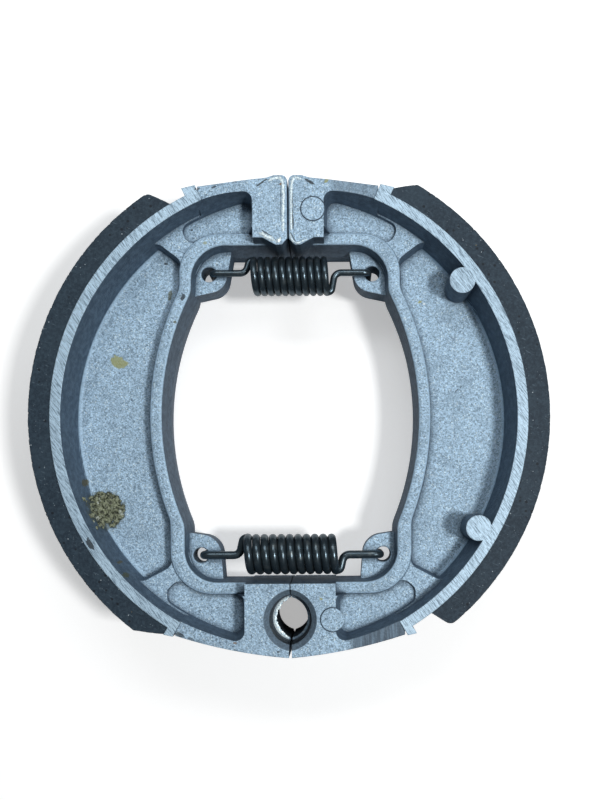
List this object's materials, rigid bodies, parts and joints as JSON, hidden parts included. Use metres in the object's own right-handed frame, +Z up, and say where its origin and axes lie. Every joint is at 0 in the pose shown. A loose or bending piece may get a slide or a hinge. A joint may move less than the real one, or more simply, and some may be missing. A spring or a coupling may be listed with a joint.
{
  "type": "drum brake shoe pair",
  "caption": "Pair of cast drum brake shoes with bonded linings, drawn together by return springs and turning about a shared anchor pin.",
  "frame": {"origin": "the brake drum's axis, in the plane of the lower rim edges that the pair lies on", "axes": "+Z up along the drum's axis, +Y from the anchor pin towards the cam, +X towards the shoe with the ejector pegs upwards"},
  "size_m": [0.1262, 0.1164, 0.028],
  "materials": {
    "cast_aluminium": "die cast, grit blasted, with machined rim edges",
    "friction_lining": "moulded friction material, matt, with ground edges",
    "spring_steel": "black oiled spring wire"
  },
  "bodies": {
    "left_shoe": {"left_shoe_casting": "cast_aluminium", "left_lining": "friction_lining", "cam_return_spring": "spring_steel", "anchor_return_spring": "spring_steel"},
    "right_shoe": {"right_shoe_casting": "cast_aluminium", "right_lining": "friction_lining"}
  },
  "joints": [
    {"name": "shoe_spread", "type": "hinge", "parent": "left_shoe", "child": "right_shoe", "pos_m": [0, -0.0491, 0.014], "axis": [0, 0, -1], "range_deg": [0, 4], "stiffness_Nm_per_rad": 4, "springref_deg": -22.92, "deforming": ["cam_return_spring", "anchor_return_spring"]}
  ]
}
